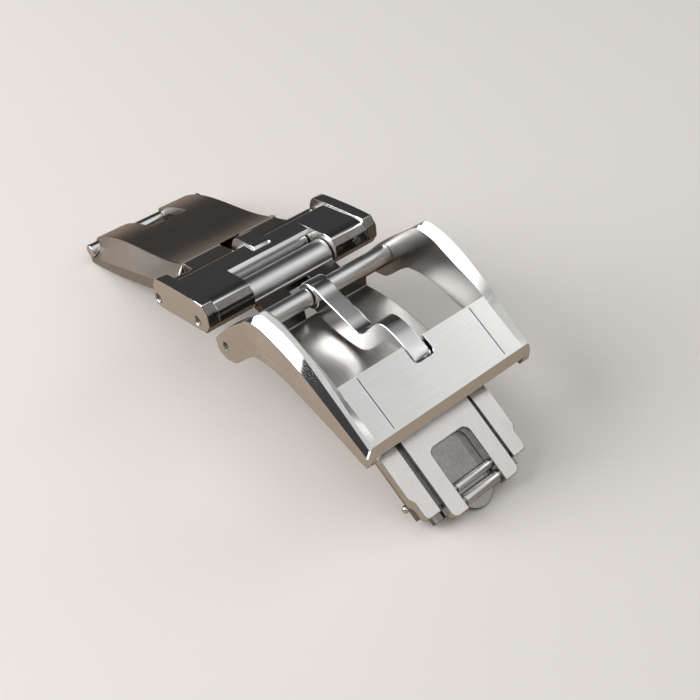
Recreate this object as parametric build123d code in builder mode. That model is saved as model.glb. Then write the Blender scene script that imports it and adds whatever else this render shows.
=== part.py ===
from build123d import *
import math
import os

# Deployant clasp with a tang buckle for an 18 mm watch strap, lying open. Lengths in mm.
# X runs along the strap towards the lock, Y across it, Z up.
# The origin is on the table, below the middle of the open clasp.
os.makedirs("parts", exist_ok=True)

# Places of the pivots, beginning with the pin on which the buckle frame turns
hinge_ahead = 2.76
hinge_height = 9.92
barrel_back = 4.05
barrel_rise = 1.0
link_length = 7.2
link_angle = 192.0
tray_length = 21.5
tray_angle = 200.6
tang_ahead = 1.2
tang_rise = 1.8

# Pins and fits
pin_radius = 0.5
fit_gap = 0.03
side_gap = 0.15
overrun = 30.0

# Buckle frame, measured from its hinge pin
frame_half_width = 11.1
arm_thickness = 1.3
crest_inset = 0.5
arm_reach = 21.3
arm_rise = 8.9
inner_shares = ((0.02, 0.32), (0.24, 0.835), (0.305, 0.855), (0.37, 0.835), (0.43, 0.78), (0.52, 0.7),
                (0.6, 0.64), (0.715, 0.53), (0.86, 0.358))
crest_shares = ((0.02, 0.32), (0.28, 0.955), (0.376, 0.945), (0.45, 0.91), (0.53, 0.85), (0.61, 0.758),
                (0.704, 0.64), (0.8, 0.485), (0.9, 0.32))
outer_shares = ((0.02, 0.31), (0.15, 0.635), (0.2, 0.69), (0.262, 0.7), (0.382, 0.65), (0.492, 0.58),
                (0.621, 0.465), (0.76, 0.31), (0.88, 0.175))
front_shares = ((0.981, 0.203), (1.0, 0.075), (0.97, -0.07))
outer_front_shares = ((0.972, 0.06), (0.976, 0.01), (0.972, -0.06))
underside_shares = ((0.84, 0.01), (0.674, 0.105), (0.526, 0.19), (0.431, 0.233), (0.331, 0.253),
                    (0.206, 0.187))
tab_shares = ((0.071, -0.144), (0.0, -0.195))
skirt_top = 5.4
skirt_bottom = -2.6
skirt_wall = 0.6
tab_radius = 1.75
shoulder_radius = 1.25
shoulder_inset = 0.45
hinge_boss_radius = 1.0
front_bar_shares = ((0.714, 0.528), (0.981, 0.203), (1.0, 0.075), (0.985, 0.026), (0.947, 0.041),
                    (0.69, 0.35))
front_bar_angle = -27.0
notch_half_width = 1.45
notch_length = 2.15
notch_depth = 1.25
hinge_pin_recess = 0.2

# Tang, measured from its own pin, and the two sleeves beside its hub
tang_half_width = 1.08
hub_half_width = 1.2
hub_radius = 1.5
tang_reach = 15.15
finger_rise = 3.3
tang_top_shares = ((0.0, 0.45), (0.063, 0.433), (0.132, 0.321), (0.215, 0.242), (0.363, 0.091),
                   (0.47, -0.03), (0.53, 0.1), (0.6, 0.56), (0.66, 0.92), (0.73, 1.0), (0.805, 0.909),
                   (0.915, 0.676), (1.0, 0.436))
tang_under_shares = ((0.99, 0.37), (0.93, 0.48), (0.865, 0.54), (0.78, 0.5), (0.72, 0.3), (0.653, -0.12),
                     (0.59, -0.44), (0.515, -0.62), (0.4, -0.66), (0.24, -0.64), (0.13, -0.52),
                     (0.04, -0.42))
sleeve_radius = 1.02
tang_pin_radius = 0.45
tang_pin_cover = 0.5

# Upper blade: barrel, hinge knuckles, arched sheet, straight lock end
barrel_radius = 1.6
barrel_half = 5.46
knuckle_radius = 0.95
knuckle_inner = 1.5
knuckle_end_gap = 0.07
web_half_width = 5.4
web_thickness = 1.0
crown_ahead = 5.97
crown_drop = 0.8
arch_radius = 29.0
lock_angle = 29.0
lock_lead = 0.65
blade_thickness = 1.1
blade_half_width = 7.1
lock_half_width = 7.5
widen_start = -9.5
widen_end = -4.5
step_start = 2.7
step_end = 3.3
arm_end = 5.4
arm_corner = 0.6
root_shares = ((-0.9, 0.3), (-0.6, -1.4), (0.0, -2.25), (1.2, -2.2), (1.4, -1.3), (0.9, 0.2))
slot_back = 2.2
slot_front = 1.05

# Fork of the lock end and its two cross bars
slit_start = -2.6
slit_outer = 5.2
fork_half_width = 4.67
fork_end = 6.8
fork_rise = 0.3
fork_corner = 0.7
fork_window_half = 2.66
fork_window_corner = 0.8
rear_bar_ahead = 4.45
rear_bar_depth = 0.35
rear_bar_radius = 0.5
rear_stub_radius = 0.28
front_bar_ahead = 5.9
front_bar_depth = 0.4
front_bar_radius = 0.62
front_stub_radius = 0.36
lock_bar_half = 2.35
stub_half = 3.4

# Lock housing below the fork, with its cover, pushers and springs
housing_start = -2.6
housing_end = 4.9
housing_half_width = 6.9
housing_depth = 1.3
roof_thickness = 0.2
cover_thickness = 0.25
cavity_start = -1.4
cavity_end = 4.3
cavity_inner = 0.35
cavity_outer = 6.3
cover_ledge = 0.3
lip_inner = 3.0
lip_outer = 5.9
lip_end = 6.2
lip_top = 1.3
lip_bottom = 2.0
tongue_radius = 2.3
tongue_ahead = 5.3
tongue_thickness = 0.4
slide_gap = 0.05
slide_inner = 1.65
pusher_ahead = 3.3
stem_radius = 0.4
stem_half = 7.75
stem_round = 0.3
press_travel = 0.8
hook_start = -0.9
hook_end = 0.1
hook_outer = 2.35
hook_nose = 2.85
hook_drop = 2.0
nose_height = 0.35
hook_room = 0.25
spring_ahead = 2.0
spring_radius = 0.22
spring_wire = 0.05
spring_turns = 4

# Link between the blades, measured from its front pin along to its rear pin
link_half_width = 11.57
end_plate_inner = 10.2
barrel_gap_half = 5.6
middle_ear_half = 1.1
link_reach = 8.0
link_rise = 2.5
end_plate_shares = ((-0.18, 0.98), (-0.27, 0.58), (-0.265, 0.0), (-0.16, -0.44), (0.9, -0.44),
                    (0.985, -0.3), (1.0, 0.1), (0.99, 0.3), (0.86, 1.0), (0.4, 1.02))
front_ear_shares = ((-0.18, 0.92), (-0.27, 0.54), (-0.265, 0.0), (-0.16, -0.44), (0.42, -0.44),
                    (0.42, 0.92))
body_shares = ((0.245, 0.7), (0.28, 0.88), (0.62, 0.92), (0.645, 0.8), (0.645, -0.2), (0.6, -0.44),
               (0.42, -0.44), (0.37, -0.12), (0.245, -0.12))
middle_ear_shares = ((0.4, 0.5), (0.4, 0.95), (0.5, 1.04), (0.84, 1.04), (0.94, 0.75), (0.99, 0.3),
                     (1.0, -0.1), (0.93, -0.38), (0.6, -0.44))
link_pin_recess = 0.17
stop_pin_radius = 0.45
stop_pin_inset = 2.97
stop_pin_height = 0.55
stop_pin_out = 0.12
stop_pin_length = 1.2

# Lower blade, a shallow tray measured from the rear pin of the link
tray_knuckle_radius = 1.1
tray_knuckle_inner = 1.4
tray_knuckle_outer = 9.95
tray_half_width = 8.1
plateau_half_width = 6.5
tray_wall = 0.9
tray_plate = 1.1
tray_corner = 1.2
plateau_places = (2.3, 12.2, 18.6, 22.2)
plateau_heights = (1.25, 1.6, 1.75, 0.95)
shoulder_depth = 0.9
wall_depths = (1.9, 2.4, 2.1, 1.7)
tray_window_start = 15.1
tray_window_half = 2.5
rib_width = 1.2
rib_depth = 0.9
rib_start = 14.6
rib_toe = 16.9
pocket_start = 17.4
pocket_end = 20.2
pocket_top = 0.65
pocket_depth = 0.7
catch_bar_radius = 0.8
catch_bar_out = 0.15


def side_plane(x, z, angle=0):
    """Side view whose X runs along the given angle and whose Y points upwards."""
    along = math.cos(math.radians(angle))
    rise = math.sin(math.radians(angle))
    return Plane(origin=(x, 0, z), x_dir=(along, 0, rise), z_dir=(0, -math.copysign(1, along), 0))


def top_plane(side):
    """View square onto the upper side of a side view's X line."""
    return Plane(origin=side.origin, x_dir=side.x_dir, z_dir=side.y_dir)


def place_on(side, along, up):
    """Side view laid through a point of another one, turned as that one is."""
    return Plane(origin=side.from_local_coords((along, up, 0)), x_dir=side.x_dir, z_dir=side.z_dir)


def spread(shares, length, height):
    return [(along * length, up * height) for along, up in shares]


def outline(plane, points):
    with BuildSketch(plane) as face:
        with BuildLine():
            Polyline(*points, close=True)
        make_face()
    return face.sketch


def disc(side, along, up, radius):
    with BuildSketch(place_on(side, along, up)) as face:
        Circle(radius)
    return face.sketch


def plate(plane, start, end, inner, outer):
    """Rectangle along a top view, between two distances from the middle line."""
    with BuildSketch(plane) as face:
        with Locations(((start + end) / 2, (inner + outer) / 2)):
            Rectangle(end - start, outer - inner)
    return face.sketch


def across(face, half, mode=Mode.ADD):
    extrude(face, amount=half, both=True, mode=mode)


def both_sides(face, inner, outer, mode=Mode.ADD):
    """Give a side view depth on both sides of the middle, from inner to outer."""
    for side in (-1, 1):
        start = face.moved(Location((0, side * inner, 0)))
        extrude(start, amount=outer - inner, dir=(0, side, 0), mode=mode)


# Widths that follow from the buckle frame, and half lengths of the pins, from the pieces that they end in
window_half_width = frame_half_width - arm_thickness
skirt_half_width = frame_half_width - skirt_wall
knuckle_outer = window_half_width - knuckle_end_gap
hinge_pin_half = frame_half_width - hinge_pin_recess
tang_pin_half = frame_half_width - tang_pin_cover
shoulder_half = frame_half_width - shoulder_inset
link_pin_half = link_half_width - link_pin_recess
catch_bar_half = tray_half_width + catch_bar_out

hinge = side_plane(hinge_ahead, hinge_height)
barrel = place_on(hinge, -barrel_back, barrel_rise)
tang_side = place_on(hinge, tang_ahead, tang_rise)
link_side = side_plane(barrel.origin.X, barrel.origin.Z, link_angle)
rear_pivot = link_side.from_local_coords((link_length, 0, 0))
tray_side = side_plane(rear_pivot.X, rear_pivot.Z, tray_angle)

bend_ahead = crown_ahead + arch_radius * math.sin(math.radians(lock_angle))
bend_drop = crown_drop + arch_radius * (1 - math.cos(math.radians(lock_angle)))
bend = side_plane(hinge_ahead + bend_ahead, hinge_height - bend_drop, -lock_angle)
lock_side = place_on(bend, lock_lead, 0)
lock_top = top_plane(lock_side)


def arch_height(ahead, depth):
    """Height of the arched sheet above the hinge pin, at a depth below its upper side."""
    return math.sqrt((arch_radius - depth) ** 2 - (ahead - crown_ahead) ** 2) - arch_radius - crown_drop


def sheet_outline(start, end):
    """Side view of the arched sheet with its straight end."""
    lean = blade_thickness * math.sin(math.radians(lock_angle))
    tip = lock_side.from_local_coords((end, 0, 0)) - hinge.origin
    low_tip = lock_side.from_local_coords((end, -blade_thickness, 0)) - hinge.origin
    low_bend = bend_ahead - lean
    upper_places = (start, (start + bend_ahead) / 2, bend_ahead)
    lower_places = (low_bend, (start + low_bend) / 2, start)
    upper = [(ahead, arch_height(ahead, 0)) for ahead in upper_places]
    lower = [(ahead, arch_height(ahead, blade_thickness)) for ahead in lower_places]
    with BuildSketch(hinge) as face:
        with BuildLine():
            ThreePointArc(*upper)
            Polyline(upper[-1], (tip.X, tip.Z), (low_tip.X, low_tip.Z), lower[0])
            ThreePointArc(*lower)
            Line(lower[-1], upper[0])
        make_face()
    return face.sketch


def lock_x(along):
    return lock_side.from_local_coords((along, 0, 0)).X


with BuildPart() as upper_blade:
    across(sheet_outline(0, arm_end), lock_half_width)
    half_plan = [(hinge_ahead, 0), (hinge_ahead, blade_half_width), (lock_x(widen_start), blade_half_width),
                 (lock_x(widen_end), lock_half_width), (lock_x(step_start), lock_half_width),
                 (lock_x(step_end), blade_half_width),
                 (lock_x(arm_end) + lock_half_width, blade_half_width),
                 (lock_x(arm_end) + lock_half_width, 0)]
    with BuildSketch(Plane.XY) as plan:
        with BuildLine():
            Polyline(*half_plan, close=True)
        make_face()
        mirror(about=Plane.XZ)
    extrude(amount=overrun, mode=Mode.INTERSECT)
    fillet(upper_blade.edges().filter_by(lambda edge: abs(edge.tangent_at(0).dot(lock_side.y_dir)) > 0.99)
           .group_by(Axis.X)[-1], arm_corner)
    for side in (-1, 1):
        slit = plate(lock_top, slit_start, fork_end, side * fork_half_width, side * slit_outer)
        extrude(slit, amount=blade_thickness * 2, both=True, mode=Mode.SUBTRACT)
    with BuildSketch(lock_top.offset(-blade_thickness)) as fork:
        with Locations(((slit_start + fork_end) / 2, 0)):
            Rectangle(fork_end - slit_start, fork_half_width * 2)
        fillet(fork.vertices().group_by(Axis.X)[-1], fork_corner)
    extrude(amount=blade_thickness + fork_rise)
    with BuildSketch(lock_top) as fork_window:
        with Locations((fork_end / 2 + fork_corner, 0)):
            Rectangle(fork_end + fork_corner * 2, fork_window_half * 2)
        fillet(fork_window.vertices().group_by(Axis.X)[0], fork_window_corner)
    extrude(amount=blade_thickness * 2, both=True, mode=Mode.SUBTRACT)
    rear_hole = disc(lock_side, rear_bar_ahead, -rear_bar_depth, rear_stub_radius + fit_gap)
    front_hole = disc(lock_side, front_bar_ahead, -front_bar_depth, front_stub_radius + fit_gap)
    across(rear_hole, stub_half + fit_gap, Mode.SUBTRACT)
    across(front_hole, stub_half + fit_gap, Mode.SUBTRACT)
    across(disc(barrel, 0, 0, barrel_radius), barrel_half)
    across(outline(hinge, [(-barrel_back, barrel_rise + web_thickness / 2), (0, web_thickness / 2),
                           (0, -web_thickness / 2), (-barrel_back, barrel_rise - web_thickness / 2)]),
           web_half_width)
    root = outline(hinge, spread(root_shares, knuckle_radius, knuckle_radius))
    both_sides(root, knuckle_inner, blade_half_width)
    both_sides(disc(hinge, 0, 0, knuckle_radius), knuckle_inner, knuckle_outer)
    slot_high = knuckle_radius * 3
    across(outline(hinge, [(-slot_back, slot_high), (slot_front, slot_high), (slot_front, -slot_high),
                           (-slot_back, -slot_high)]), knuckle_inner, Mode.SUBTRACT)
    across(disc(hinge, 0, 0, pin_radius + fit_gap), overrun, Mode.SUBTRACT)
    across(disc(barrel, 0, 0, pin_radius + fit_gap), overrun, Mode.SUBTRACT)
upper_blade.part.label = "upper_blade"

with BuildPart() as rear_lock_bar:
    across(disc(lock_side, rear_bar_ahead, -rear_bar_depth, rear_bar_radius), lock_bar_half)
    across(disc(lock_side, rear_bar_ahead, -rear_bar_depth, rear_stub_radius), stub_half)
rear_lock_bar.part.label = "rear_lock_bar"

with BuildPart() as front_lock_bar:
    across(disc(lock_side, front_bar_ahead, -front_bar_depth, front_bar_radius), lock_bar_half)
    across(disc(lock_side, front_bar_ahead, -front_bar_depth, front_stub_radius), stub_half)
front_lock_bar.part.label = "front_lock_bar"

# Levels of the housing, measured down from the upper side of the lock end
cavity_top = blade_thickness + roof_thickness
housing_bottom = blade_thickness + housing_depth
cavity_bottom = housing_bottom - cover_thickness
stem_depth = (cavity_top + cavity_bottom) / 2
slot_inner = slide_inner - press_travel - hook_room
slot_outer = hook_nose + hook_room

with BuildPart() as lock_housing:
    extrude(plate(lock_top.offset(-housing_bottom), housing_start, housing_end, -housing_half_width,
                  housing_half_width), amount=housing_depth)
    across(sheet_outline(0, arm_end), overrun, Mode.SUBTRACT)
    for side in (-1, 1):
        lip = plate(lock_top.offset(-lip_bottom), cavity_end, lip_end, side * lip_inner, side * lip_outer)
        extrude(lip, amount=lip_bottom - lip_top)
    with BuildSketch(lock_top.offset(-lip_top)) as tongue:
        with Locations((tongue_ahead, 0)):
            Circle(tongue_radius)
    extrude(amount=-tongue_thickness)
    for side in (-1, 1):
        cavity = plate(lock_top.offset(-cavity_bottom), cavity_start, cavity_end, side * cavity_inner,
                       side * cavity_outer)
        extrude(cavity, amount=cavity_bottom - cavity_top, mode=Mode.SUBTRACT)
    cover_seat = plate(lock_top.offset(-housing_bottom), cavity_start - cover_ledge, cavity_end + cover_ledge,
                       -cavity_outer - cover_ledge, cavity_outer + cover_ledge)
    extrude(cover_seat, amount=cover_thickness, mode=Mode.SUBTRACT)
    stem_hole = disc(lock_side, pusher_ahead, -stem_depth, stem_radius + fit_gap)
    both_sides(stem_hole, cavity_outer - cover_ledge, housing_half_width + overrun, Mode.SUBTRACT)
lock_housing.part.label = "lock_housing"

with BuildPart() as housing_cover:
    cover_margin = cover_ledge - fit_gap
    extrude(plate(lock_top.offset(-housing_bottom), cavity_start - cover_margin, cavity_end + cover_margin,
                  -cavity_outer - cover_margin, cavity_outer + cover_margin), amount=cover_thickness)
    for side in (-1, 1):
        hook_slot = plate(lock_top.offset(-housing_bottom), hook_start - hook_room, hook_end + hook_room,
                          side * slot_inner, side * slot_outer)
        extrude(hook_slot, amount=cover_thickness, mode=Mode.SUBTRACT)
housing_cover.part.label = "housing_cover"


def build_pusher(side):
    """Pusher with its slide in the housing and the hook that holds the tray."""
    slide_floor = lock_top.offset(-cavity_bottom + slide_gap)
    hook_floor = lock_top.offset(-housing_bottom - hook_drop)
    stem_inner = slide_inner * 2
    with BuildPart() as pusher:
        slide = plate(slide_floor, cavity_start + slide_gap, cavity_end - slide_gap, side * slide_inner,
                      side * (cavity_outer - fit_gap))
        extrude(slide, amount=cavity_bottom - cavity_top - slide_gap * 2)
        stem = disc(lock_side, pusher_ahead, -stem_depth, stem_radius)
        stem_start = stem.moved(Location((0, side * stem_inner, 0)))
        extrude(stem_start, amount=stem_half - stem_inner, dir=(0, side, 0))
        end = pusher.faces().sort_by(Axis.Y)[-1 if side > 0 else 0]
        fillet(end.edges(), stem_round)
        hook = plate(hook_floor, hook_start, hook_end, side * slide_inner, side * hook_outer)
        extrude(hook, amount=hook_drop + cover_thickness + slide_gap * 2)
        nose = plate(hook_floor, hook_start, hook_end, side * slide_inner, side * hook_nose)
        extrude(nose, amount=nose_height)
    return pusher.part


def build_spring(side):
    """Small coil spring between the middle wall of the housing and a slide."""
    length = slide_inner - cavity_inner - spring_wire * 4
    seat = Vector(0, side * (cavity_inner + spring_wire * 2), 0)
    start = lock_side.from_local_coords((spring_ahead, -stem_depth, 0)) + seat
    with BuildPart() as spring:
        with BuildLine() as path:
            Helix(pitch=length / spring_turns, height=length, radius=spring_radius, center=start,
                  direction=(0, side, 0))
        with BuildSketch(Plane(origin=path.line @ 0, z_dir=path.line % 0)):
            Circle(spring_wire)
        sweep(path=path.line)
    return spring.part


pusher_left = build_pusher(-1)
pusher_left.label = "pusher_left"
pusher_right = build_pusher(1)
pusher_right.label = "pusher_right"
pusher_spring_left = build_spring(-1)
pusher_spring_left.label = "pusher_spring_left"
pusher_spring_right = build_spring(1)
pusher_spring_right.label = "pusher_spring_right"

with BuildPart() as frame_hinge_pin:
    across(disc(hinge, 0, 0, pin_radius), hinge_pin_half)
frame_hinge_pin.part.label = "frame_hinge_pin"


def arm_face(top_shares, nose_shares):
    """Side view of a frame arm with the given upper edge, straight at the rear, and the given nose."""
    top = spread(top_shares, arm_reach, arm_rise)
    nose = spread(nose_shares, arm_reach, arm_rise)
    under = [nose[-1]] + spread(underside_shares, arm_reach, arm_rise)
    tab = spread(tab_shares, arm_reach, arm_rise)
    with BuildSketch(hinge) as face:
        with BuildLine():
            Line(top[0], top[1])
            Spline(*top[1:])
            Polyline(top[-1], *nose)
            Spline(*under)
            Polyline(under[-1], *tab, (-tab_radius, 0), top[0])
        make_face()
    return face.sketch


with BuildPart() as buckle_frame:
    arm_faces = [(arm_face(inner_shares, front_shares), window_half_width),
                 (arm_face(crest_shares, front_shares), frame_half_width - crest_inset),
                 (arm_face(outer_shares, outer_front_shares), frame_half_width)]
    for side in (-1, 1):
        placed = [face.moved(Location((0, side * away, 0))).face() for face, away in arm_faces]
        loft(placed[:2], ruled=True)
        loft(placed[1:], ruled=True)
    both_sides(disc(hinge, 0, 0, tab_radius), window_half_width, frame_half_width)
    skirt_high = hinge_height + skirt_top
    skirt_low = hinge_height + skirt_bottom
    with BuildSketch(Plane.YZ.offset(-overrun)) as skirt:
        with BuildLine():
            Polyline((0, skirt_high), (window_half_width, skirt_high), (skirt_half_width, skirt_low),
                     (0, skirt_low), close=True)
        make_face()
        mirror(about=Plane.YZ)
    extrude(amount=overrun + hinge_ahead + front_bar_shares[0][0] * arm_reach, mode=Mode.SUBTRACT)
    across(outline(hinge, spread(front_bar_shares, arm_reach, arm_rise)), window_half_width)
    bar_corner = spread(front_bar_shares, arm_reach, arm_rise)[0]
    notch_side = side_plane(0, 0, front_bar_angle)
    notch_plane = Plane(origin=hinge.from_local_coords((bar_corner[0], bar_corner[1], 0)),
                        x_dir=notch_side.x_dir, z_dir=notch_side.y_dir)
    extrude(plate(notch_plane, -notch_length, notch_length, -notch_half_width, notch_half_width),
            amount=notch_depth, both=True, mode=Mode.SUBTRACT)
    both_sides(disc(tang_side, 0, 0, shoulder_radius), window_half_width, shoulder_half)
    both_sides(disc(hinge, 0, 0, hinge_boss_radius), knuckle_outer + side_gap, shoulder_half)
    both_sides(disc(tang_side, 0, 0, tang_pin_radius + fit_gap), 0, tang_pin_half + fit_gap, Mode.SUBTRACT)
    across(disc(hinge, 0, 0, pin_radius + fit_gap), overrun, Mode.SUBTRACT)
buckle_frame.part.label = "buckle_frame"

with BuildPart() as tang_pin:
    across(disc(tang_side, 0, 0, tang_pin_radius), tang_pin_half)
tang_pin.part.label = "tang_pin"


def build_sleeve(side):
    """Sleeve round the tang pin, between the tang's hub and a frame arm."""
    inner = hub_half_width + side_gap
    outer = window_half_width - fit_gap
    with BuildPart() as sleeve:
        extrude(disc(tang_side, 0, 0, sleeve_radius).moved(Location((0, side * inner, 0))),
                amount=outer - inner, dir=(0, side, 0))
        across(disc(tang_side, 0, 0, tang_pin_radius + fit_gap), overrun, Mode.SUBTRACT)
    return sleeve.part


sleeve_left = build_sleeve(-1)
sleeve_left.label = "sleeve_left"
sleeve_right = build_sleeve(1)
sleeve_right.label = "sleeve_right"

with BuildPart() as tang:
    tang_top = spread(tang_top_shares, tang_reach, finger_rise)
    tang_under = spread(tang_under_shares, tang_reach, finger_rise)
    with BuildSketch(tang_side) as finger:
        with BuildLine():
            Spline(*tang_top)
            Line(tang_top[-1], tang_under[0])
            Spline(*tang_under)
            Line(tang_under[-1], tang_top[0])
        make_face()
    across(finger.sketch, tang_half_width)
    across(disc(tang_side, 0, 0, hub_radius), hub_half_width)
    across(disc(tang_side, 0, 0, tang_pin_radius + fit_gap), overrun, Mode.SUBTRACT)
tang.part.label = "tang"

with BuildPart() as link:
    across(outline(link_side, spread(body_shares, link_reach, link_rise)), end_plate_inner)
    front_ear = outline(link_side, spread(front_ear_shares, link_reach, link_rise))
    both_sides(front_ear, barrel_gap_half, end_plate_inner)
    end_plate = outline(link_side, spread(end_plate_shares, link_reach, link_rise))
    both_sides(end_plate, end_plate_inner, link_half_width)
    across(outline(link_side, spread(middle_ear_shares, link_reach, link_rise)), middle_ear_half)
    for pin_place in (0, link_length):
        across(disc(link_side, pin_place, 0, pin_radius + fit_gap), overrun, Mode.SUBTRACT)
    front_u = front_ear_shares[1][0] * link_reach
    stop_place = link_side.from_local_coords((front_u, stop_pin_height * link_rise / 2, 0))
    stop_plane = Plane(origin=stop_place + Vector(0, link_half_width - stop_pin_inset, 0),
                       x_dir=(0, 1, 0), z_dir=link_side.x_dir)
    with BuildSketch(stop_plane):
        Circle(stop_pin_radius + fit_gap)
    extrude(amount=stop_pin_length, both=True, mode=Mode.SUBTRACT)
link.part.label = "link"

with BuildPart() as link_stop_pin:
    with BuildSketch(stop_plane.offset(-stop_pin_out)):
        Circle(stop_pin_radius)
    extrude(amount=stop_pin_length)
link_stop_pin.part.label = "link_stop_pin"

with BuildPart() as link_front_pin:
    across(disc(link_side, 0, 0, pin_radius), link_pin_half)
link_front_pin.part.label = "link_front_pin"

with BuildPart() as link_rear_pin:
    across(disc(link_side, link_length, 0, pin_radius), link_pin_half)
link_rear_pin.part.label = "link_rear_pin"


def tray_section(along, points):
    """Cross-section of the tray at a distance from the rear pivot."""
    plane = Plane(origin=tray_side.from_local_coords((along, 0, 0)), x_dir=(0, 1, 0), z_dir=tray_side.x_dir)
    flip = plane.y_dir.dot(tray_side.y_dir)
    with BuildSketch(plane) as face:
        with BuildLine():
            Polyline(*[(y, v * flip) for y, v in points], close=True)
        make_face()
    return face.sketch.face()


tray_start = plateau_places[0]
tray_end = plateau_places[-1]
inner_half = tray_half_width - tray_wall
inner_plateau = plateau_half_width - tray_wall / 2

with BuildPart() as lower_blade:
    shells = []
    hollows = []
    for along, top, depth in zip(plateau_places, plateau_heights, wall_depths):
        eaves = -shoulder_depth - tray_wall / 2
        shells.append(tray_section(along, [(-tray_half_width, -depth), (-tray_half_width, -shoulder_depth),
                                           (-plateau_half_width, top), (plateau_half_width, top),
                                           (tray_half_width, -shoulder_depth), (tray_half_width, -depth)]))
        low = -depth - tray_plate
        roof = top - tray_plate
        hollows.append(tray_section(along, [(-inner_half, low), (-inner_half, eaves), (-inner_plateau, roof),
                                            (inner_plateau, roof), (inner_half, eaves), (inner_half, low)]))
    loft(shells)
    loft(hollows, mode=Mode.SUBTRACT)
    rib_tops = [height - tray_plate / 2 for height in plateau_heights[1:]]
    rib_heel = rib_tops[0] - tray_plate / 2
    rib = outline(tray_side, [(rib_start, rib_heel), (rib_toe, -rib_depth), (tray_end, -rib_depth),
                              (tray_end, rib_tops[2]), (plateau_places[2], rib_tops[1]),
                              (rib_start, rib_tops[0])])
    both_sides(rib, tray_window_half, tray_window_half + rib_width)
    tray_top = top_plane(tray_side)
    tray_window = plate(tray_top, tray_window_start, tray_end + tray_corner, -tray_window_half,
                        tray_window_half)
    extrude(tray_window, amount=overrun, both=True, mode=Mode.SUBTRACT)
    pocket = outline(tray_side, [(pocket_start, -pocket_top), (pocket_end, -pocket_top),
                                 (pocket_end, rib_heel), (pocket_start, rib_heel)])
    across(pocket, tray_window_half + pocket_depth, Mode.SUBTRACT)
    with BuildSketch(tray_top) as tray_plan:
        with Locations((tray_end / 2, 0)):
            Rectangle(tray_end, tray_half_width * 2)
        fillet(tray_plan.vertices().group_by(Axis.X)[0], tray_corner)
    extrude(amount=overrun, both=True, mode=Mode.INTERSECT)
    tray_root = outline(tray_side, [(0, tray_knuckle_radius), (tray_start + fit_gap, plateau_heights[0]),
                                    (tray_start + fit_gap, plateau_heights[0] - tray_plate),
                                    (0, -tray_knuckle_radius)])
    both_sides(tray_root, tray_knuckle_inner, plateau_half_width)
    both_sides(disc(tray_side, 0, 0, tray_knuckle_radius), tray_knuckle_inner, tray_knuckle_outer)
    across(disc(tray_side, 0, 0, pin_radius + fit_gap), overrun, Mode.SUBTRACT)
    across(disc(tray_side, tray_length, 0, catch_bar_radius + fit_gap), overrun, Mode.SUBTRACT)
lower_blade.part.label = "lower_blade"

with BuildPart() as catch_bar:
    across(disc(tray_side, tray_length, 0, catch_bar_radius), catch_bar_half)
catch_bar.part.label = "catch_bar"

built = [upper_blade, rear_lock_bar, front_lock_bar, lock_housing, housing_cover, frame_hinge_pin,
         buckle_frame, tang_pin, tang, link, link_stop_pin, link_front_pin, link_rear_pin, lower_blade,
         catch_bar]
pieces = [piece.part for piece in built]
pieces += [pusher_left, pusher_right, pusher_spring_left, pusher_spring_right, sleeve_left, sleeve_right]
for piece in pieces:
    export_step(piece, f"parts/{piece.label}.step")
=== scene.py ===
import bpy
import bmesh
import math
from mathutils import Matrix, Vector


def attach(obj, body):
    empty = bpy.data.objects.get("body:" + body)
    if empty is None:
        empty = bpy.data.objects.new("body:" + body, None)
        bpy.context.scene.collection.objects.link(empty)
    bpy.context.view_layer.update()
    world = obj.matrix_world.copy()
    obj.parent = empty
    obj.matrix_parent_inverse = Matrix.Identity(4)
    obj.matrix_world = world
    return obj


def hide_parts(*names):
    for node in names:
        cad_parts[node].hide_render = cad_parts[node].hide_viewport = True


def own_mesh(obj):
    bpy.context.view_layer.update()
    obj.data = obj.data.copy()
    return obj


# The open clasp: worked edges, steel finishes and a studio round its CAD nodes
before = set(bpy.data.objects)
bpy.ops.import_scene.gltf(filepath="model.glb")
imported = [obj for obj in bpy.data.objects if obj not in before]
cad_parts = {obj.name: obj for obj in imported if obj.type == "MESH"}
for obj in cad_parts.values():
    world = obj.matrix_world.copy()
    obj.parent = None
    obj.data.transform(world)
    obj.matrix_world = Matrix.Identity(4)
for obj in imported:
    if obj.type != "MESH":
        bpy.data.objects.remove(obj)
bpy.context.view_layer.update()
mm = 0.001  # sizes below are in mm unless they say otherwise

# Camera at the photograph's angle
view = {"place": (72.89, -59.71, 89.57), "right": (0.67208, 0.74030, 0.01643), "up": (-0.51660, 0.45287, 0.72666),
        "back": (0.53051, -0.49686, 0.68680), "focal": 59.33, "sensor": 36, "nearest": 1}
cameraData = bpy.data.cameras.new("camera")
cameraData.lens = view["focal"]
cameraData.sensor_width = view["sensor"]
cameraData.clip_start = view["nearest"] * mm
camera = bpy.data.objects.new("camera", cameraData)
bpy.context.collection.objects.link(camera)
turn = Matrix((view["right"], view["up"], view["back"])).transposed().to_4x4()
camera.matrix_world = Matrix.Translation(Vector(view["place"]) * mm) @ turn
bpy.context.scene.camera = camera
bpy.context.scene.view_settings.view_transform = "Standard"
print("camera placed")


class Wire:  # a socket that can stand in a sum
    def __init__(self, tree, socket):
        self.tree = tree
        self.socket = socket

    def math(self, operation, first, second=0.0):
        node = self.tree.nodes.new("ShaderNodeMath")
        node.operation = operation
        connect(self.tree, node.inputs[0], first)
        connect(self.tree, node.inputs[1], second)
        return Wire(self.tree, node.outputs[0])

    def __add__(self, other):
        return self.math("ADD", self, other)

    def __radd__(self, other):
        return self.math("ADD", other, self)

    def __sub__(self, other):
        return self.math("SUBTRACT", self, other)

    def __rsub__(self, other):
        return self.math("SUBTRACT", other, self)

    def __mul__(self, other):
        return self.math("MULTIPLY", self, other)

    def __rmul__(self, other):
        return self.math("MULTIPLY", other, self)


def connect(tree, socket, value):
    if isinstance(value, Wire):
        tree.links.new(value.socket, socket)
    else:
        socket.default_value = value


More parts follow.
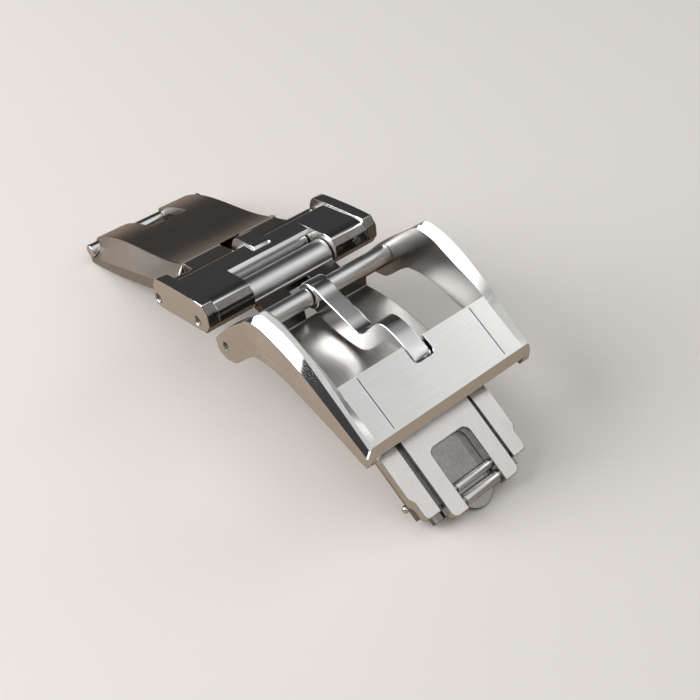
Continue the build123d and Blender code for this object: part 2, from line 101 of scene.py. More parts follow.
socketNames = {"baseColor": "Base Color", "first": 0, "second": 1, "third": 2, "firstColor": 6, "secondColor": 7,
               "fromMin": "From Min", "fromMax": "From Max"}


class Recipe:  # the node tree of one material or of the world
    def __init__(self, owner):
        owner.use_nodes = True
        self.owner = owner
        self.tree = owner.node_tree

    def add(self, kind, settings=None, output=0, **inputs):
        node = self.tree.nodes.new(kind)
        for name, value in (settings or {}).items():
            if name == "stops":
                setStops(node.color_ramp, value)
            else:
                setattr(node, name, value)
        for name, value in inputs.items():
            connect(self.tree, node.inputs[socketNames.get(name, name)], value)
        return Wire(self.tree, node.outputs[output])

    def feed(self, node, **inputs):
        for name, value in inputs.items():
            connect(self.tree, self.tree.nodes[node].inputs[socketNames.get(name, name)], value)

    def blend(self, share, first, second):  # two colours
        return self.add("ShaderNodeMix", {"data_type": "RGBA"}, output=2, Factor=share, firstColor=first,
                        secondColor=second)

    def take(self, node):
        return Wire(self.tree, self.tree.nodes[node].outputs[0])


def setStops(ramp, stops):
    while len(ramp.elements) < len(stops):
        ramp.elements.new(1.0)
    for element, (place, shade) in zip(ramp.elements, stops):
        element.position = place
        element.color = (shade, shade, shade, 1)


# Steel: straight grain, or an even satin, over slow changes in tone
steelWork = {"grainDetail": 4.0, "grainRoughness": 0.65, "cloudDetail": 2.0, "cloudRoughness": 0.5,
             "grainTone": 0.65, "grainGloss": 0.5}


def makeSteel(name, look):
    recipe = Recipe(bpy.data.materials.new(name))
    place = recipe.add("ShaderNodeTexCoord", output="Object")
    grainPlace = recipe.add("ShaderNodeMapping", Vector=place, Rotation=(0, math.radians(look["grainTurn"]), 0),
                            Scale=[1 / (size * mm) for size in look["grain"]])
    grain = recipe.add("ShaderNodeTexNoise", Vector=grainPlace, Scale=1.0, Detail=steelWork["grainDetail"],
                       Roughness=steelWork["grainRoughness"])
    cloud = recipe.add("ShaderNodeTexNoise", Vector=place, Scale=1 / (look["cloud"] * mm),
                       Detail=steelWork["cloudDetail"], Roughness=steelWork["cloudRoughness"])
    grainTone, grainGloss = steelWork["grainTone"], steelWork["grainGloss"]
    tone = recipe.blend(cloud * (1 - grainTone) + grain * grainTone, (*look["dark"], 1), (*look["light"], 1))
    bump = recipe.add("ShaderNodeBump", Height=grain, Distance=look["depth"] * mm, Strength=1.0)
    uneven = cloud * (1 - grainGloss) + grain * grainGloss - 0.5  # about nought
    recipe.feed("Principled BSDF", baseColor=tone, Metallic=1.0, Normal=bump,
                Roughness=look["roughness"] + look["spread"] * uneven)
    return recipe.owner


# Grain is the size of its streaks along X, Y and Z, cloud the size of the slow changes, depth the grain's height
finishes = {
    "brushed": {"grain": (4.0, 0.14, 0.14), "grainTurn": 27, "cloud": 6, "depth": 0.010, "roughness": 0.26,
                "spread": 0.16, "dark": (0.52, 0.51, 0.50), "light": (0.94, 0.925, 0.91)},
    # Painted shade: near-black steel for the web of the upper blade, which lies in shade behind the sleeves
    "shaded": {"grain": (0.4, 0.8, 0.4), "grainTurn": 0, "cloud": 3, "depth": 0.002, "roughness": 0.22,
               "spread": 0.08, "dark": (0.07, 0.065, 0.06), "light": (0.12, 0.11, 0.105)},
    # Painted shade: dark steel for the lock housing, standing for the shade under the frame and in its window
    "paintedShadeDim": {"grain": (0.8, 0.3, 0.3), "grainTurn": 29, "cloud": 1.6, "depth": 0.001, "roughness": 0.13,
            "spread": 0.06, "dark": (0.14, 0.135, 0.13), "light": (0.44, 0.43, 0.42)},
    # Painted shade: dark steel for the front of the link and the ends of the hinge pins, which lie in shade
    "deep": {"grain": (0.8, 0.3, 0.3), "grainTurn": 0, "cloud": 3, "depth": 0.002, "roughness": 0.14,
             "spread": 0.06, "dark": (0.10, 0.09, 0.085), "light": (0.30, 0.285, 0.27)},
    "groove": {"grain": (0.3, 0.3, 0.3), "grainTurn": 0, "cloud": 2, "depth": 0.001, "roughness": 0.5,
               "spread": 0.1, "dark": (0.16, 0.16, 0.16), "light": (0.22, 0.22, 0.22)},
    "blade": {"grain": (2.2, 0.16, 0.16), "grainTurn": 29, "cloud": 4, "depth": 0.016, "roughness": 0.36,
              "spread": 0.14, "dark": (0.40, 0.39, 0.38), "light": (0.80, 0.785, 0.77)},
    "fork": {"grain": (1.6, 0.14, 0.14), "grainTurn": 29, "cloud": 3, "depth": 0.004, "roughness": 0.20,
             "spread": 0.10, "dark": (0.58, 0.565, 0.55), "light": (0.88, 0.865, 0.85)},
    "plate": {"grain": (0.10, 4.0, 0.10), "grainTurn": 0, "cloud": 7, "depth": 0.004, "roughness": 0.32,
              "spread": 0.10, "dark": (0.50, 0.50, 0.495), "light": (0.80, 0.80, 0.79)},
    "satin": {"grain": (1.6, 0.10, 0.10), "grainTurn": 29, "cloud": 5, "depth": 0.005, "roughness": 0.30,
              "spread": 0.14, "dark": (0.58, 0.57, 0.56), "light": (0.78, 0.77, 0.755)},
    "smoked": {"grain": (0.5, 0.12, 0.12), "grainTurn": -20, "cloud": 5, "depth": 0.003, "roughness": 0.30,
               "spread": 0.10, "dark": (0.34, 0.31, 0.295), "light": (0.46, 0.43, 0.415)},
    "turned": {"grain": (0.12, 3.0, 0.12), "grainTurn": 0, "cloud": 4, "depth": 0.012, "roughness": 0.30,
               "spread": 0.14, "dark": (0.50, 0.495, 0.49), "light": (0.90, 0.895, 0.89)},
    "polished": {"grain": (0.8, 0.5, 0.5), "grainTurn": 10, "cloud": 7, "depth": 0.0012, "roughness": 0.075,
                 "spread": 0.06, "dark": (0.70, 0.70, 0.70), "light": (0.80, 0.80, 0.80)},
    "soft": {"grain": (0.8, 0.5, 0.5), "grainTurn": 10, "cloud": 5, "depth": 0.0015, "roughness": 0.17,
             "spread": 0.06, "dark": (0.80, 0.80, 0.80), "light": (0.92, 0.92, 0.92)},
    # Painted shade: the insides of the arms are darker than the brushed sides
    "inner": {"grain": (3.0, 0.12, 0.12), "grainTurn": 27, "cloud": 5, "depth": 0.003, "roughness": 0.22,
              "spread": 0.08, "dark": (0.40, 0.39, 0.38), "light": (0.62, 0.61, 0.60)},
    "pin": {"grain": (0.2, 0.3, 0.2), "grainTurn": 0, "cloud": 2, "depth": 0.002, "roughness": 0.2,
            "spread": 0.1, "dark": (0.55, 0.55, 0.55), "light": (0.70, 0.70, 0.70)},
    "spring": {"grain": (0.1, 0.1, 0.1), "grainTurn": 0, "cloud": 1, "depth": 0.001, "roughness": 0.3,
               "spread": 0.1, "dark": (0.42, 0.42, 0.43), "light": (0.55, 0.55, 0.56)}}
steel = {name: makeSteel(name + "Steel", look) for name, look in finishes.items()}
print("finishes made")

# How much of a face's normal points a way, from 0 across it to 1 along it
facing = {"barely": 0.02, "partly": 0.3, "half": 0.5, "mostly": 0.8, "straight": 0.9}

# Worked edges; the angles are in degrees
edgeWork = {"merge": 0.001, "flat": 1, "segments": 3, "sharp": 35, "smooth": 30}


# A merged copy of a CAD node, which gets crisp worked edges
def copyNode(node):
    piece = bpy.data.objects.new(node + "Worked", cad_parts[node].data.copy())
    bpy.context.collection.objects.link(piece)
    piece.data.materials.clear()
    shape = bmesh.new()
    shape.from_mesh(piece.data)
    bmesh.ops.remove_doubles(shape, verts=shape.verts, dist=edgeWork["merge"] * mm)
    bmesh.ops.dissolve_limit(shape, angle_limit=math.radians(edgeWork["flat"]), verts=shape.verts,
                             edges=shape.edges)
    shape.to_mesh(piece.data)
    shape.free()
    return piece


def pickOnly(*pieces):
    bpy.ops.object.select_all(action="DESELECT")
    for piece in pieces:
        piece.select_set(True)
    bpy.context.view_layer.objects.active = pieces[0]


def applyTo(piece, kind, **settings):
    pickOnly(piece)
    modifier = piece.modifiers.new(kind.lower(), kind)
    for name, value in settings.items():
        setattr(modifier, name, value)
    bpy.ops.object.modifier_apply(modifier=modifier.name)


def roundEdges(piece, edge, sharpAngle=edgeWork["sharp"], clamp=False):
    applyTo(piece, "BEVEL", width=edge * mm, segments=edgeWork["segments"], limit_method="ANGLE",
            angle_limit=math.radians(sharpAngle), use_clamp_overlap=clamp, miter_outer="MITER_ARC")


def shadeByAngle(piece, sharpAngle=edgeWork["sharp"]):
    pickOnly(piece)
    bpy.ops.object.shade_smooth_by_angle(angle=math.radians(sharpAngle))


# The finishes and the body of a piece that stands for a CAD node
def finishPiece(piece, node, body, finishNames, shaded=False):
    if not shaded:
        shadeByAngle(piece, edgeWork["smooth"])
    applyTo(piece, "WEIGHTED_NORMAL", keep_sharp=True)
    piece.data.materials.clear()
    for finish in finishNames:
        piece.data.materials.append(steel[finish])
    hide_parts(node)
    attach(piece, body)
    print(node, "finished")


# Each face gets the finish that a function names for its middle in mm and its normal
def paintFaces(piece, finishNames, chooseFinish):
    for face in piece.data.polygons:
        face.material_index = finishNames.index(chooseFinish(face.center / mm, face.normal))


# CAD copies with worked edges: body, finishes, slot, width of the edge
worked = {
    "lower_blade": ("lower", ["smoked"], "satin_steel", 0.12),
    "upper_blade": ("upper", ["blade", "turned", "shaded", "fork"], "satin_steel", 0.12),
    # The lock housing's dark finish is painted shade
    "lock_housing": ("upper", ["paintedShadeDim"], "satin_steel", 0.08),
    "catch_bar": ("lower", ["polished"], "polished_steel", 0.12),
    "pusher_left": ("pusher_l", ["polished"], "polished_steel", 0.06),
    "pusher_right": ("pusher_r", ["polished"], "polished_steel", 0.06),
    "sleeve_left": ("frame", ["turned"], "brushed_steel", 0.06),
    "sleeve_right": ("frame", ["turned"], "brushed_steel", 0.06)}
for node, (body, finishNames, slot, edge) in worked.items():
    piece = copyNode(node)
    roundEdges(piece, edge)
    finishPiece(piece, node, body, finishNames)

# The barrel of the upper blade is turned, the web behind the sleeves gets near-black steel as painted shade, and
# the fork is smoother
bladeParts = {"barrel": (-1.29, 10.92), "barrelRadius": 1.68, "barrelHalf": 5.6, "webEnd": 3.9, "forkStart": 19}


def bladeFinish(middle, normal):
    x, y, z = middle
    fromBarrel = math.hypot(x - bladeParts["barrel"][0], z - bladeParts["barrel"][1])
    if fromBarrel < bladeParts["barrelRadius"] and abs(y) < bladeParts["barrelHalf"]:
        return "turned"
    if x < bladeParts["webEnd"]:
        return "shaded"
    return "fork" if x > bladeParts["forkStart"] else "blade"


paintFaces(bpy.data.objects["upper_bladeWorked"], worked["upper_blade"][1], bladeFinish)

# The nodes that keep their CAD mesh; the three hinge pins get dark steel, painted shade for their recessed ends
kept = {"housing_cover": "satin", "frame_hinge_pin": "deep", "link_front_pin": "deep", "link_rear_pin": "deep",
        "link_stop_pin": "pin", "tang_pin": "pin"}
for node, finish in kept.items():
    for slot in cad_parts[node].material_slots:
        slot.material = steel[finish]
print("kept nodes finished")

# Each spring stands on the middle wall
for node, joint, side in (("pusher_spring_left", "press_left", -1), ("pusher_spring_right", "press_right", 1)):
    spring = copyNode(node)
    finishPiece(spring, node, "upper", ["spring"])
    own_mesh(spring)
print("springs finished")


# A closed shell laid corner by corner, for the arms, whose facets change all along them
def makeShell(name, corners, faces):
    mesh = bpy.data.meshes.new(name)
    mesh.from_pydata([Vector(corner) * mm for corner in corners], [], faces)
    shell = bpy.data.objects.new(name, mesh)
    bpy.context.collection.objects.link(shell)
    shape = bmesh.new()
    shape.from_mesh(mesh)
    bmesh.ops.recalc_face_normals(shape, faces=shape.faces)
    shape.to_mesh(mesh)
    shape.free()
    return shell


# A disc whose corners go to the places of an outline, extruded by a reach
def extrudeOutline(name, places, reach):
    bpy.ops.object.select_all(action="DESELECT")
    bpy.ops.mesh.primitive_circle_add(vertices=len(places), radius=mm, fill_type="NGON", calc_uvs=False)
    piece = bpy.context.object
    piece.name = name
    for corner, place in zip(piece.data.vertices, places):
        corner.co = Vector(place) * mm
    bpy.ops.object.mode_set(mode="EDIT")
    bpy.ops.mesh.select_all(action="SELECT")
    bpy.ops.mesh.extrude_region_move(TRANSFORM_OT_translate={"value": Vector(reach) * mm})
    bpy.ops.mesh.select_all(action="SELECT")
    bpy.ops.mesh.normals_make_consistent(inside=False)
    bpy.ops.object.mode_set(mode="OBJECT")
    return piece


# A side view outline, extruded across the clasp
def makeSlab(name, outline, start, end):
    return extrudeOutline(name, [(x, start, z) for x, z in outline], (0, end - start, 0))


through = 20  # how far a cutter reaches to each side, past any piece


def ringOutline(x, z, radius, count=64):
    turns = [math.tau * i / count for i in range(count)]
    return [(x + radius * math.cos(turn), z + radius * math.sin(turn)) for turn in turns]


# Smooth curve through points whose first value rises
def follow(points, place):
    slopes = [(b[1] - a[1]) / (b[0] - a[0]) for a, b in zip(points, points[1:])]
    leans = [slopes[0]]
    for before, after in zip(slopes, slopes[1:]):
        leans.append(2 * before * after / (before + after) if before * after > 0 else 0)
    leans.append(slopes[-1])
    last = len(points) - 2
    i = min(max(sum(point[0] <= place for point in points) - 1, 0), last)
    span = points[i + 1][0] - points[i][0]
    t = min(max((place - points[i][0]) / span, 0), 1)
    start = points[i][1] * (1 + 2 * t) * (1 - t) ** 2 + leans[i] * span * t * (1 - t) ** 2
    end = points[i + 1][1] * (3 - 2 * t) * t ** 2 - leans[i + 1] * span * (1 - t) * t ** 2
    return start + end


def cutOut(piece, cutter):
    applyTo(piece, "BOOLEAN", object=cutter, operation="DIFFERENCE", solver="EXACT")
    bpy.data.objects.remove(cutter)


def joinPieces(name, shells):
    pickOnly(*shells)
    bpy.ops.object.join()
    shells[0].name = name
    return shells[0]


# Buckle frame: two faceted arms and the bar at the front, measured from the hinge pin
# The section goes round an arm: how far out each edge lies, and the curve of its height along the arm
buckle = {
    "pin": (2.76, 9.92), "stations": 72, "start": -1.72, "end": 20.9,
    "inner": 9.8, "crest": 10.55, "strip": 10.8, "outer": 11.1,
    "section": [("inner", "under"), ("inner", "innerTop"), ("ridgeOut", "ridgeTop"), ("crest", "crestTop"),
                ("strip", "stripTop"), ("outer", "outerTop"), ("outer", "under")],
    "innerTop": [(-1.75, 0), (0.43, 2.8), (3.2, 5.55), (4.9, 7.2), (5.4, 7.55), (6.5, 7.58), (7.9, 7.42),
                 (9.16, 6.93), (11.1, 6.23), (12.8, 5.7), (15.2, 4.7), (18.3, 3.15), (20.9, 1.8)],
    "ridgeTop": [(-1.75, 0), (0.43, 2.8), (3.2, 5.6), (5.2, 7.6), (5.7, 7.95), (7.0, 7.95), (8.5, 7.75),
                 (10.4, 7.05), (11.9, 6.35), (13.2, 5.75), (15.2, 4.74), (18.3, 3.17), (20.9, 1.8)],
    "ridgeOut": [(-1.75, 10.1), (6.0, 10.1), (10.4, 10.08), (13.2, 9.95), (15.2, 9.84), (20.9, 9.84)],
    "crestTop": [(-1.75, 0), (0.43, 2.8), (3.2, 5.6), (5.5, 7.95), (6.0, 8.4), (6.7, 8.49), (8.0, 8.4),
                 (9.6, 8.08), (11.3, 7.5), (13, 6.7), (15, 5.65), (17, 4.32), (19.2, 2.85), (20.9, 1.8)],
    "stripTop": [(-1.75, 0), (0.43, 2.8), (3.2, 5.55), (4.9, 7.2), (5.4, 7.6), (6.2, 7.82), (8.0, 7.75),
                 (9.6, 7.45), (11.3, 6.85), (13, 6.0), (15, 4.85), (17, 3.75), (19.2, 2.45), (20.9, 1.45)],
    "outerTop": [(-1.75, 0), (0.43, 2.76), (2.9, 5.2), (3.5, 5.75), (4.3, 6.05), (5.6, 6.2), (8.1, 5.8),
                 (10.5, 5.2), (13.2, 4.1), (16.2, 2.75), (20.9, 0.65)],
    "under": [(0, -1.75), (1.4, -1.35), (1.65, -1.15), (4.2, 1.5), (4.7, 1.85), (7.05, 2.25), (9.18, 2.07),
              (11.2, 1.69), (14.36, 0.93), (17.9, 0.09), (20.66, -0.6), (20.9, -0.62)],
    "tab": 1.75, "nose": (21.3, 0.67), "facet": 16, "bore": 0.53,
    "tangPin": (1.2, 1.8), "tangBore": 0.48, "tangBoreHalf": 10.63,
    "boss": (1.0, 9.9, 10.65), "shoulder": (1.25, 9.82, 10.65),
    "bar": [(15.2, 4.70), (20.9, 1.81), (21.3, 0.67), (20.98, 0.23), (20.17, 0.36), (14.7, 3.1)],
    "barHalf": 9.85, "barSlope": -27, "barEdge": 0.08, "barSharp": 40, "notchFloor": -1.4, "above": 1,
    "notch": [(-1, -1.5), (1.5, -1.5), (1.85, -1.42), (2.08, -1.2), (2.15, -0.85), (2.15, 0.65), (2.08, 0.98),
              (1.85, 1.2), (1.5, 1.27), (-1, 1.27)],
    "engraving": {"out": 7.5, "width": 0.09, "depth": 0.05, "start": 0.25, "end": 6.0},
    "finishes": ("brushed", "polished", "plate", "groove", "inner"),
    "zones": {"topStart": 2.9, "bevelStart": 3.2, "barStart": 14.9, "notchEnd": 18, "notchHalf": 2,
              "noseStart": 20.8, "armFrom": 5, "inBar": 0.04, "grooveHalf": 0.06, "grooveRun": (15, 20.9),
              "grooveFloor": 11},
    "lean": {"bevel": 45, "strip": 62, "start": 3.6, "end": 20.8, "probe": 0.2}}


def armUnder(x):
    if x < 0:
        return -math.sqrt(buckle["tab"] ** 2 - x ** 2)
    return follow(buckle["under"], x)


def makeArm(side):
    pinX, pinZ = buckle["pin"]
    corners = []
    rings = []
    for step in range(buckle["stations"] + 1):
        x = buckle["start"] + (buckle["end"] - buckle["start"]) * step / buckle["stations"]
        ring = []
        for edge, height in buckle["section"]:
            out = follow(buckle[edge], x) if edge == "ridgeOut" else buckle[edge]
            z = armUnder(x) if height == "under" else follow(buckle[height], x)
            ring.append(len(corners))
            corners.append((pinX + x, side * out, pinZ + z))
        rings.append(ring)
    count = len(buckle["section"])
    faces = []
    for near, far in zip(rings, rings[1:]):
        faces += [[near[i], near[(i + 1) % count], far[(i + 1) % count], far[i]] for i in range(count)]
    noseX, noseZ = buckle["nose"]
    inNose, outNose = len(corners), len(corners) + 1
    corners += [(pinX + noseX, side * buckle[edge], pinZ + noseZ) for edge in ("inner", "crest")]
    last = rings[-1]
    faces += [rings[0], [last[1], last[2], last[3], outNose, inNose], [last[3], last[4], last[5], outNose],
              [last[5], last[6], outNose], [last[6], last[0], inNose, outNose], [last[0], last[1], inNose]]
    return makeShell("arm", corners, faces)


# Facets that catch the light as if cut at these angles, though they stand steeper than that
def leanNormals(piece, slopeCurve):
    mesh = piece.data
    pinX = buckle["pin"][0]
    lean = buckle["lean"]
    probe = lean["probe"]
    normals = [Vector(normal.vector) for normal in mesh.corner_normals]
    for face in mesh.polygons:
        middle = face.center / mm
        side = math.copysign(1, middle.y)
        away = abs(middle.y)
        x = middle.x - pinX
        if away < buckle["crest"] or x < lean["start"] or x > lean["end"]:
            continue
        if face.normal.y * side < facing["partly"] or face.normal.z < facing["barely"]:
            continue
        angle = math.radians(lean["bevel"] if away > buckle["strip"] else lean["strip"])
        for loop in face.loop_indices:
            x = mesh.vertices[mesh.loops[loop].vertex_index].co.x / mm - pinX
            slope = math.atan((follow(slopeCurve, x + probe) - follow(slopeCurve, x - probe)) / (2 * probe))
            normals[loop] = Vector((-math.sin(slope) * math.sin(angle), side * math.cos(angle),
                                    math.cos(slope) * math.sin(angle)))
    mesh.normals_split_custom_set(normals)


# Polished bevels and notch, plain satin tops, softer insides of the arms darkened as painted shade, dark
# engraving; the sides stay brushed
def frameFinish(middle, normal):
    zones = buckle["zones"]
    x, away = middle.x - buckle["pin"][0], abs(middle.y)
    forward, upward = normal.x, normal.z
    outward = normal.y * math.copysign(1, middle.y)
    grooveStart, grooveEnd = zones["grooveRun"]
    inBar = away < buckle["inner"] + zones["inBar"]
    inBevel = away > buckle["strip"] and x > zones["bevelStart"] and outward > facing["partly"]
    inMiddle = inBar and away < zones["notchHalf"] and x < zones["notchEnd"]
    inGroove = abs(away - buckle["engraving"]["out"]) < zones["grooveHalf"] and grooveStart < x < grooveEnd
    if inGroove and middle.z > zones["grooveFloor"]:
        return "groove"
    if inBar and outward < -facing["straight"]:
        return "inner" if away > zones["armFrom"] else "polished"
    if x > zones["noseStart"] and forward > facing["mostly"]:
        return "polished"
    if inMiddle and upward < facing["half"]:
        return "polished" if x > zones["barStart"] else "brushed"
    if inBevel and facing["barely"] < upward < facing["mostly"]:
        return "polished"
    return "plate" if x > zones["topStart"] and upward > facing["partly"] else "brushed"


def makeFrame():
    pinX, pinZ = buckle["pin"]
    tangX, tangZ = pinX + buckle["tangPin"][0], pinZ + buckle["tangPin"][1]
    arms = [makeArm(side) for side in (-1, 1)]
    half = buckle["tangBoreHalf"]
    for arm in arms:
        cutOut(arm, makeSlab("pinHole", ringOutline(pinX, pinZ, buckle["bore"]), -through, through))
        cutOut(arm, makeSlab("tangHole", ringOutline(tangX, tangZ, buckle["tangBore"]), -half, half))
        shadeByAngle(arm, buckle["facet"])

    # The bar, with a notch for the tang and two engraved lines, measured down its slope from its rear edge
    half = buckle["barHalf"]
    bar = makeSlab("bar", [(pinX + x, pinZ + z) for x, z in buckle["bar"]], -half, half)
    slope = math.radians(buckle["barSlope"])
    along = Vector((math.cos(slope), 0, math.sin(slope)))
    up = Vector((-along.z, 0, along.x))
    start = Vector((pinX + buckle["bar"][0][0], 0, pinZ + buckle["bar"][0][1]))
    low, high = buckle["notchFloor"], buckle["above"]
    notch = [start + along * down + up * low + Vector((0, y, 0)) for down, y in buckle["notch"]]
    cutOut(bar, extrudeOutline("notch", notch, up * (high - low)))
    line = buckle["engraving"]
    near, far, depth = line["start"], line["end"], line["depth"]
    groove = [start + along * down + up * height
              for down, height in ((near, high), (far, high), (far, -depth), (near, -depth))]
    for side in (-1, 1):
        cutOut(bar, makeSlab("engraving", [(corner.x, corner.z) for corner in groove],
                             side * line["out"] - line["width"] / 2, side * line["out"] + line["width"] / 2))
    roundEdges(bar, buckle["barEdge"], buckle["barSharp"], True)
    shadeByAngle(bar)

    # The bosses round the two pins, on the inner faces of the arms
    bosses = []
    for kind, x, z in (("boss", pinX, pinZ), ("shoulder", tangX, tangZ)):
        radius, near, far = buckle[kind]
        for side in (-1, 1):
            bosses.append(makeSlab(kind, ringOutline(x, z, radius), *sorted((side * near, side * far))))
            shadeByAngle(bosses[-1])
    return joinPieces("buckleFrame", arms + [bar] + bosses)


frameShell = makeFrame()
finishPiece(frameShell, "buckle_frame", "frame", buckle["finishes"], True)
paintFaces(frameShell, buckle["finishes"], frameFinish)
leanNormals(frameShell, buckle["outerTop"])

# Link between the blades, measured from the front pin: each part's distances from the middle and its outline
bridge = {
    "pin": (-1.29, 10.92), "angle": 192, "pins": (0, 7.2), "bore": 0.53, "edge": 0.13, "facet": 18,
    "plateStart": 10.3, "finishes": ("polished", "deep", "brushed"),
    "endPlate": ((10.2, 11.57), [(-1.5, 2.36), (-2.16, 1.4), (-2.12, 0), (-1.28, -1.1), (7.2, -1.1),
                                 (7.62, -0.98), (7.88, -0.7), (8.0, 0.1), (7.98, 0.6), (7.7, 1.5), (7.4, 2.1),
                                 (7.15, 2.35), (6.8, 2.48), (6.3, 2.54), (4.5, 2.58), (2.0, 2.56), (0.0, 2.48)]),
    "block": ((5.6, 10.2), [(-2.16, 1.3), (-1.5, 2.0), (-1.35, 2.07), (-1.1, 2.16), (-0.75, 2.24), (-0.3, 2.29),
                            (0.3, 2.31), (4.9, 2.31), (5.1, 2.2), (5.16, 2.0), (5.16, -0.5), (4.8, -1.1),
                            (-1.28, -1.1), (-2.12, 0)]),
    "back": ((-5.65, 5.65), [(1.96, 1.75), (2.24, 2.2), (4.9, 2.3), (5.1, 2.2), (5.16, 2.0), (5.16, -0.5),
                             (4.8, -1.1), (3.36, -1.1), (2.96, -0.3), (1.96, -0.3)]),
    "ear": ((-1.1, 1.1), [(3.2, 1.25), (3.2, 2.3), (3.5, 2.5), (4.0, 2.58), (6.4, 2.58), (6.85, 2.48),
                          (7.2, 2.2), (7.6, 1.6), (7.9, 0.75), (8.0, 0), (7.85, -0.55), (7.4, -0.95),
                          (6.8, -1.08), (4.8, -1.1)])}


def makeLink():
    pinX, pinZ = bridge["pin"]
    turn = math.radians(bridge["angle"])
    ahead, above = math.cos(turn), math.sin(turn)
    shells = []
    for part in ("endPlate", "block", "back", "ear"):
        (start, end), points = bridge[part]
        outline = [(pinX + u * ahead + v * above, pinZ + u * above - v * ahead) for u, v in points]
        for side in (-1, 1) if start > 0 else (1,):  # what stands off the middle is on both sides
            shell = makeSlab(part, outline, *sorted((side * start, side * end)))
            for along in bridge["pins"]:
                bore = ringOutline(pinX + along * ahead, pinZ + along * above, bridge["bore"])
                cutOut(shell, makeSlab("bore", bore, -through, through))
            roundEdges(shell, bridge["edge"], bridge["facet"], True)
            shadeByAngle(shell, bridge["facet"])
            shells.append(shell)
    return joinPieces("linkShell", shells)


# The front of the link gets dark steel as painted shade, and the sides of its ear and end plates are satin
def linkFinish(middle, normal):
    if normal.x > facing["half"] and middle.x > bridge["pin"][0]:
        return "deep"
    if abs(normal.y) > facing["straight"] and abs(middle.y) < bridge["plateStart"]:
        return "brushed"
    return "polished"


linkShell = makeLink()
finishPiece(linkShell, "link", "link", bridge["finishes"], True)
paintFaces(linkShell, bridge["finishes"], linkFinish)

# The two bars across the fork of the lock: place, then radius and half length of the bar and of its thinner ends
lockBars = {
    "edge": 0.08, "sharp": 40,
    "rear_lock_bar": ((27.08, 2.706), (0.5, 2.35), (0.28, 3.4)),
    "front_lock_bar": ((28.324, 1.959), (0.62, 2.35), (0.36, 3.4))}
for node in ("rear_lock_bar", "front_lock_bar"):
    place, *steps = lockBars[node]
    shells = [makeSlab("step", ringOutline(*place, radius), -half, half) for radius, half in steps]
    roundEdges(shells[0], lockBars["edge"], lockBars["sharp"])
    for shell in shells:
        shadeByAngle(shell)
    finishPiece(joinPieces(node + "Shell", shells), node, "upper", ["turned"], True)

# Tang: a bent finger with its hub, measured from its own pin
tongue = {
    "pin": (3.96, 11.72), "halfWidth": 1.08, "hubHalf": 1.2, "hubRadius": 1.5, "bore": 0.48,
    "edge": 0.15, "sharp": 40, "samples": 60,
    "top": [(0, 1.485), (0.95, 1.43), (2.0, 1.06), (3.26, 0.8), (5.5, 0.3), (7.12, -0.1), (8.03, 0.33),
            (9.09, 1.85), (10.0, 3.04), (11.06, 3.3), (12.2, 3.12), (13.7, 2.62), (14.7, 2.2), (15.25, 1.9),
            (15.5, 1.62)],
    "under": [(0.6, -1.39), (1.97, -1.72), (3.64, -2.11), (6.06, -2.18), (7.8, -2.05), (8.94, -1.45),
              (9.89, -0.4), (10.91, 0.99), (11.82, 1.65), (13.1, 1.78), (14.09, 1.52), (15.1, 1.12),
              (15.35, 1.2)]}


def makeTang():
    pinX, pinZ = tongue["pin"]
    outline = []
    for curve, turned in (("top", False), ("under", True)):
        start = tongue[curve][0][0]
        end = tongue[curve][-1][0]
        places = [start + (end - start) * i / tongue["samples"] for i in range(tongue["samples"] + 1)]
        points = [(pinX + x, pinZ + follow(tongue[curve], x)) for x in places]
        outline += reversed(points) if turned else points
    finger = makeSlab("finger", outline, -tongue["halfWidth"], tongue["halfWidth"])
    hub = makeSlab("hub", ringOutline(pinX, pinZ, tongue["hubRadius"]), -tongue["hubHalf"], tongue["hubHalf"])
    for shell in (finger, hub):
        cutOut(shell, makeSlab("bore", ringOutline(pinX, pinZ, tongue["bore"]), -through, through))
        roundEdges(shell, tongue["edge"], tongue["sharp"])
    return joinPieces("tangShell", [finger, hub])


finishPiece(makeTang(), "tang", "tang", ["soft"])
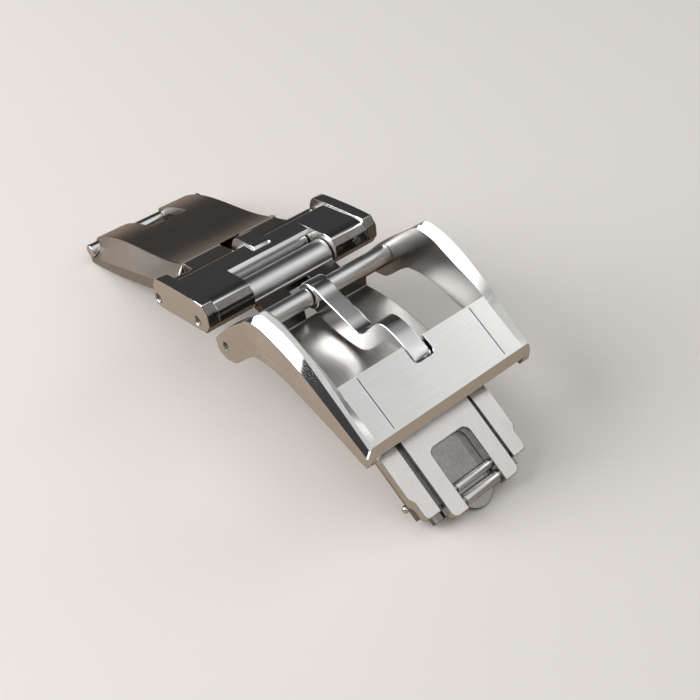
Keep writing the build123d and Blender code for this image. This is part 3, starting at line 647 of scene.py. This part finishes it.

# Pale floor, soft studio light; far off, the floor fades to white between the distances of the haze. Reflections
# and bounced light see a darker tan floor, a painted reflection
studio = {
    "floor": (0.80, 0.76, 0.72), "floorPaintedReflection": (0.43, 0.34, 0.26), "floorRoughness": 0.75, "floorSize": 6000,
    "haze": (180, 900), "sky": 0.9, "skyTop": (0.45, 0, 0.893),
    "skyStops": ((0.0, 0.06), (0.42, 0.03), (0.56, 0.14), (0.70, 0.34), (0.84, 0.95)),
    "lampPlace": (-176, -323, 202), "lampSize": 350, "lampPower": 2.2,
    "fillPlace": (60, 330, 260), "fillSize": 200, "fillPower": 0.25}
white = (1, 1, 1, 1)
ground = Recipe(bpy.data.materials.new("floor"))
seen = ground.add("ShaderNodeLightPath", output="Is Camera Ray")
tone = ground.blend(seen, (*studio["floorPaintedReflection"], 1), (*studio["floor"], 1))
ground.feed("Principled BSDF", baseColor=tone, Roughness=studio["floorRoughness"])
place = ground.add("ShaderNodeTexCoord", output="Object")
away = ground.add("ShaderNodeVectorMath", {"operation": "LENGTH"}, output="Value", first=place)
near, far = studio["haze"]
haze = ground.add("ShaderNodeMapRange", Value=away, fromMin=near * mm, fromMax=far * mm)
glare = ground.add("ShaderNodeEmission", Color=white, Strength=1.0)
shown = ground.add("ShaderNodeMixShader", Fac=haze * seen, second=ground.take("Principled BSDF"), third=glare)
ground.feed("Material Output", Surface=shown)
bpy.ops.object.select_all(action="DESELECT")
bpy.ops.mesh.primitive_plane_add(size=studio["floorSize"] * mm, location=(0, 0, 0))
floor = bpy.context.object
floor.name = "floor"
floor.data.materials.append(ground.owner)

world = bpy.data.worlds.new("world")
bpy.context.scene.world = world
sky = Recipe(world)
heading = sky.add("ShaderNodeTexCoord", output="Generated")
height = sky.add("ShaderNodeVectorMath", {"operation": "DOT_PRODUCT"}, output="Value", first=heading,
                 second=studio["skyTop"])
glow = sky.add("ShaderNodeValToRGB", {"stops": studio["skyStops"]}, Fac=height)
seen = sky.add("ShaderNodeLightPath", output="Is Camera Ray")
shown = sky.blend(seen, glow, white)
strength = seen * (1 - studio["sky"]) + studio["sky"]
sky.feed("Background", Color=shown, Strength=strength)


def makeLamp(name, place, size, power):
    lampData = bpy.data.lights.new(name, "AREA")
    lampData.size = size * mm
    lampData.energy = power
    lamp = bpy.data.objects.new(name, lampData)
    bpy.context.collection.objects.link(lamp)
    lamp.location = Vector(place) * mm
    lamp.rotation_euler = Vector(place).to_track_quat("Z", "Y").to_euler()


makeLamp("lamp", studio["lampPlace"], studio["lampSize"], studio["lampPower"])
makeLamp("fill", studio["fillPlace"], studio["fillSize"], studio["fillPower"])
print("studio made")
